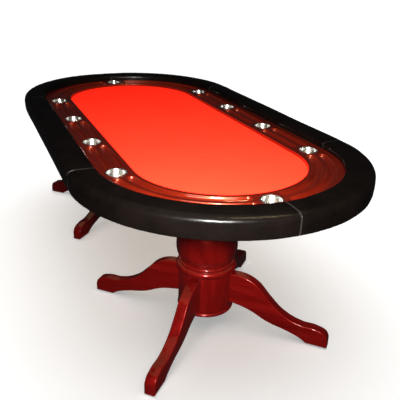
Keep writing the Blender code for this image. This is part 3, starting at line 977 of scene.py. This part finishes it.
def drum_profile():
    """A plain drum with a bead at its foot."""
    low, high = DRUM_Z
    outer = [(0.1165, high), (0.1190, high - 0.0012), (0.1195, high - 0.004), (0.120, high - 0.03)]
    outer += [(0.120, low + 0.029), (0.1196, low + 0.0255), (0.1184, low + 0.0235)]
    bead = arc_points(0.1140, low + 0.0115, 0.0088, 62, -70, 12)
    return outer + [(0.1186, low + 0.0215)] + bead + [(0.112, low), (BORE, low), (BORE, high)]


def collar_profile():
    """A small bead over a large one, above a plain foot."""
    low, high = COLLAR_Z
    small = [(0.1150, high)] + arc_points(0.1172, high - 0.0065, 0.0052, 80, -70, 8)
    cove = [(0.1186, high - 0.0130), (0.1184, high - 0.0145)]
    large = arc_points(0.1172, low + 0.0195, 0.0140, 62, -62, 14)
    foot = [(0.1206, low + 0.0050), (0.1198, low + 0.0028), (0.1196, low)]
    return small + cove + large + foot + [(BORE, low), (BORE, high)]


def vase_profile():
    """A flange and a bead, a narrow neck, then a belly that draws in above the collar."""
    low, high = VASE_Z
    flange = arc_points(0.122, high - 0.003, 0.003, 90, 0, 4)
    flange += arc_points(0.122, high - 0.012, 0.003, 0, -90, 4) + [(0.108, high - 0.0153)]
    bead = arc_points(0.1015, high - 0.0250, 0.0088, 75, -75, 10)
    body = [(0.0940, high - 0.0370), (0.0885, 0.612), (0.0850, 0.585), (0.0840, 0.560)]
    body += [(0.0862, 0.538), (0.0905, 0.518), (0.1020, 0.480), (0.1150, 0.447), (0.1245, 0.420)]
    body += [(0.1295, 0.395), (0.1312, 0.372), (0.1302, 0.352), (0.1262, 0.334), (0.1205, 0.3225)]
    body += [(0.1172, 0.3150), (0.1165, low + 0.003)]
    return flange + bead + smooth_profile(body, 5) + [(0.1160, low), (BORE, low), (BORE, high)]


def leg_outline():
    """(distance from the axis, z) of the outline's Bezier points, and which of them are corners."""
    over = [(0.175, 0.2535), (0.232, 0.230), (0.290, 0.172), (0.350, 0.119)]
    over += [(0.430, 0.087), (0.500, 0.082), (0.543, 0.062)]
    under = [(0.438, 0.021), (0.385, 0.040), (0.290, 0.064), (0.205, 0.101)]
    sole = [(0.552, FOOT_Z), (0.463, FOOT_Z)]
    points = [(0.112, 0.2553)] + over + sole + under + [(0.112, 0.120)]
    return points, {0, 8, 9, 14}


def leg_curve():
    """A sabre leg in its own plane, with its edges rounded."""
    points, corners = leg_outline()
    curve = bpy.data.curves.new("leg_outline", "CURVE")
    curve.dimensions = "2D"
    curve.fill_mode = "BOTH"
    curve.resolution_u = 14
    curve.bevel_depth = LEG_ROUND
    curve.bevel_resolution = 4
    curve.offset = -LEG_ROUND
    curve.extrude = LEG_THICKNESS / 2 - LEG_ROUND
    spline = curve.splines.new("BEZIER")
    spline.bezier_points.add(len(points) - 1)
    spline.use_cyclic_u = True
    for index, (point, (x, z)) in enumerate(zip(spline.bezier_points, points)):
        kind = "VECTOR" if index in corners else "AUTO"
        point.co = (x, z, 0)
        point.handle_left_type = kind
        point.handle_right_type = kind
    holder = bpy.data.objects.new("leg_outline", curve)
    bpy.context.scene.collection.objects.link(holder)
    bpy.context.view_layer.update()
    graph = bpy.context.evaluated_depsgraph_get()
    mesh = bpy.data.meshes.new_from_object(holder.evaluated_get(graph))
    bpy.data.objects.remove(holder)
    turn_outward(mesh, weld=True)
    return mesh


def make_legs(end, centre):
    master = leg_curve()
    for index, degrees in enumerate(LEG_ANGLES, 1):
        mesh = master.copy()
        x, y, z = vertex_array(mesh).T
        start = index * 0.7 + (3.0 if end == "back" else 0.0)  # no two legs share their grain
        grain = np.stack([x * 0.9 - y * 0.5 + start, y, z], 1)
        layer = mesh.attributes.new("grain", "FLOAT_VECTOR", "POINT")
        layer.data.foreach_set("vector", grain.astype(np.float32).ravel())
        turn = Matrix.Rotation(radians(degrees), 4, "Z") @ Matrix.Rotation(pi / 2, 4, "X")
        mesh.transform(Matrix.Translation((*centre, 0)) @ turn)
        mesh.shade_smooth()
        mesh.set_sharp_from_angle(angle=radians(38))
        mesh.materials.clear()
        mesh.materials.append(PEDESTAL_WOOD)
        name = "pedestal_%s_leg_%d" % (end, index)
        obj = bpy.data.objects.new(name + "_wood", mesh)
        bpy.context.scene.collection.objects.link(obj)
        finish_piece(obj, "table", name)
        make_glide(end, index, degrees, centre)


def make_glide(end, index, degrees, centre):
    a = radians(degrees)
    at = (centre[0] + GLIDE_DISTANCE * cos(a), centre[1] + GLIDE_DISTANCE * sin(a))
    profile = [(0.0, 0.0)] + arc_points(0.0105, 0.0015, 0.0015, -90, 0, 4)
    profile += [(0.0120, 0.0035), (0.0115, 0.0050), (0.0, 0.0050)]
    name = "pedestal_%s_glide_%d" % (end, index)
    obj = turned(name + "_disc", profile[::-1], 40, GLIDE, at, sharp=40, closed=False)
    finish_piece(obj, "table", name)


def make_pedestal(end, centre):
    parts = (("drum", drum_profile()), ("collar", collar_profile()), ("vase", vase_profile()))
    for part, profile in parts:
        name = "pedestal_%s_%s" % (end, part)
        obj = turned(name + "_wood", profile, 160, PEDESTAL_WOOD, centre, sharp=32)
        finish_piece(obj, "table", name)
    make_legs(end, centre)


def dress(node, material):
    """A better material for a CAD node that stays."""
    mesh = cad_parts[node].data
    mesh.materials.clear()
    mesh.materials.append(material)


def dress_carried_nodes():
    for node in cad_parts:
        if node.startswith(("rail_base", "table_deck", "playfield_board")) or "top_plate" in node:
            dress(node, PLYWOOD)
        elif "tie_rod" in node:
            dress(node, ZINC)


# ---------------------------------------------------------------- studio

WARM_WHITE = (1.0, 0.985, 0.96)
LAMP_YELLOW = (1.0, 0.80, 0.42)

CAMERA_TARGET = (1.0181, -0.2582, 0.762)
CAMERA_DISTANCE = 1.7550
CAMERA_AZIMUTH = 66.346
CAMERA_ELEVATION = 23.325
CAMERA_ROLL = 1.619
CAMERA_LENS = 49.15


def make_floor():
    mesh = bpy.data.meshes.new("studio_floor")
    half = 40.0
    corners = [(-half, -half, 0), (half, -half, 0), (half, half, 0), (-half, half, 0)]
    mesh.from_pydata(corners, [], [(0, 1, 2, 3)])
    mesh.materials.append(floor_material())
    floor = bpy.data.objects.new("studio_floor", mesh)
    floor.visible_glossy = False
    bpy.context.scene.collection.objects.link(floor)


def area_light(name, location, target, size, power, colour=(1, 1, 1), gloss=True):
    """A rectangular light; without gloss, no shiny surface shows it."""
    light = bpy.data.lights.new(name, "AREA")
    light.shape = "RECTANGLE"
    light.size, light.size_y = size
    light.energy = power
    light.color = colour
    obj = bpy.data.objects.new(name, light)
    obj.location = location
    way = Vector(target) - Vector(location)
    obj.rotation_euler = way.to_track_quat("-Z", "Y").to_euler()
    obj.visible_camera = False
    obj.visible_glossy = gloss
    bpy.context.scene.collection.objects.link(obj)
    return obj


def link_light(lamp, names, state):
    """Make a lamp light only the named objects (INCLUDE) or everything but them (EXCLUDE)."""
    linked = bpy.data.collections.new(lamp.name + "_link")
    for name in names:
        linked.objects.link(bpy.data.objects[name])
    for member in linked.collection_objects:
        member.light_linking.link_state = state
    lamp.light_linking.receiver_collection = linked


def make_lights():
    """A flash just above the camera, in a dim room with one yellow ceiling lamp.

    The key adds to the flash's light and leaves no highlight of its own. The glint puts highlights
    on the lacquer in the grooves, and the sun lights the floor alone.
    """
    floor = ["studio_floor"]
    spot, aim, size = (2.50, -0.93, 1.60), (1.05, -0.25, 0.66), (0.36, 0.30)
    key = area_light("key", spot, aim, size, 105.0, WARM_WHITE, gloss=False)
    flash = area_light("flash", spot, aim, size, 110.0, WARM_WHITE)
    for light in (key, flash):
        light.data.spread = radians(95)
        link_light(light, floor, "EXCLUDE")
    spot, aim, size = (2.34, -1.07, 2.00), (1.00, -0.20, 0.73), (2.2, 0.16)
    glint = area_light("groove_glint", spot, aim, size, 26.0, WARM_WHITE)
    glint.visible_diffuse = False
    link_light(glint, RACETRACK_BOARDS, "INCLUDE")
    spot, aim, size = (1.40, 0.42, 2.85), (1.40, 0.42, 0.7), (0.06, 1.1)
    ceiling = area_light("ceiling_lamp", spot, aim, size, 26.0, LAMP_YELLOW)
    link_light(ceiling, floor, "EXCLUDE")
    area_light("overhead", (-0.1, 0.1, 3.6), (-0.1, 0.1, 0.0), (3.2, 2.4), 8.0)
    size = (1.8, 0.5)
    area_light("back_fill", (-2.6, 2.3, 0.42), (-0.2, 0.0, 0.42), size, 12.0, gloss=False)
    area_light("side_fill", (-1.6, -2.9, 0.40), (-0.3, 0.0, 0.40), size, 2.0, gloss=False)
    sun = bpy.data.lights.new("floor_wash", "SUN")
    sun.energy = 2.6
    sun.angle = radians(80)
    lamp = bpy.data.objects.new("floor_wash", sun)
    bpy.context.scene.collection.objects.link(lamp)
    link_light(lamp, floor, "INCLUDE")


def make_world():
    """Dim all round, so that the black vinyl stays black, but pale where the camera sees it."""
    world = bpy.data.worlds.new("studio")
    bpy.context.scene.world = world
    world.use_nodes = True
    tree = world.node_tree
    dim = tree.nodes["Background"]
    dim.inputs["Color"].default_value = (0.95, 0.97, 1.0, 1.0)
    dim.inputs["Strength"].default_value = 0.015
    pale = tree.nodes.new("ShaderNodeBackground")
    pale.inputs["Color"].default_value = (0.95, 0.95, 0.945, 1.0)
    path = tree.nodes.new("ShaderNodeLightPath")
    mix = tree.nodes.new("ShaderNodeMixShader")
    tree.links.new(path.outputs["Is Camera Ray"], mix.inputs[0])
    tree.links.new(dim.outputs[0], mix.inputs[1])
    tree.links.new(pale.outputs[0], mix.inputs[2])
    tree.links.new(mix.outputs[0], tree.nodes["World Output"].inputs["Surface"])


def make_camera():
    azimuth, elevation = radians(CAMERA_AZIMUTH), radians(CAMERA_ELEVATION)
    roll = radians(CAMERA_ROLL)
    back = Vector((sin(azimuth) * cos(elevation), -cos(azimuth) * cos(elevation), sin(elevation)))
    right = (-back).cross(Vector((0, 0, 1))).normalized()
    up = right.cross(-back)
    x_axis = cos(roll) * right + sin(roll) * up
    y_axis = -sin(roll) * right + cos(roll) * up
    data = bpy.data.cameras.new("camera")
    data.lens = CAMERA_LENS
    data.sensor_width = 36.0
    camera = bpy.data.objects.new("camera", data)
    basis = Matrix((x_axis, y_axis, back)).transposed().to_4x4()
    at = Vector(CAMERA_TARGET) + back * CAMERA_DISTANCE
    camera.matrix_world = Matrix.Translation(at) @ basis
    bpy.context.scene.collection.objects.link(camera)
    bpy.context.scene.camera = camera


bpy.context.scene.view_settings.view_transform = "Standard"
make_camera()
make_floor()
make_world()
make_rail()
make_track()
make_lights()
make_foam()
make_felt()
make_cups()
for pedestal_end, pedestal_centre in PEDESTALS.items():
    make_pedestal(pedestal_end, pedestal_centre)
dress_carried_nodes()
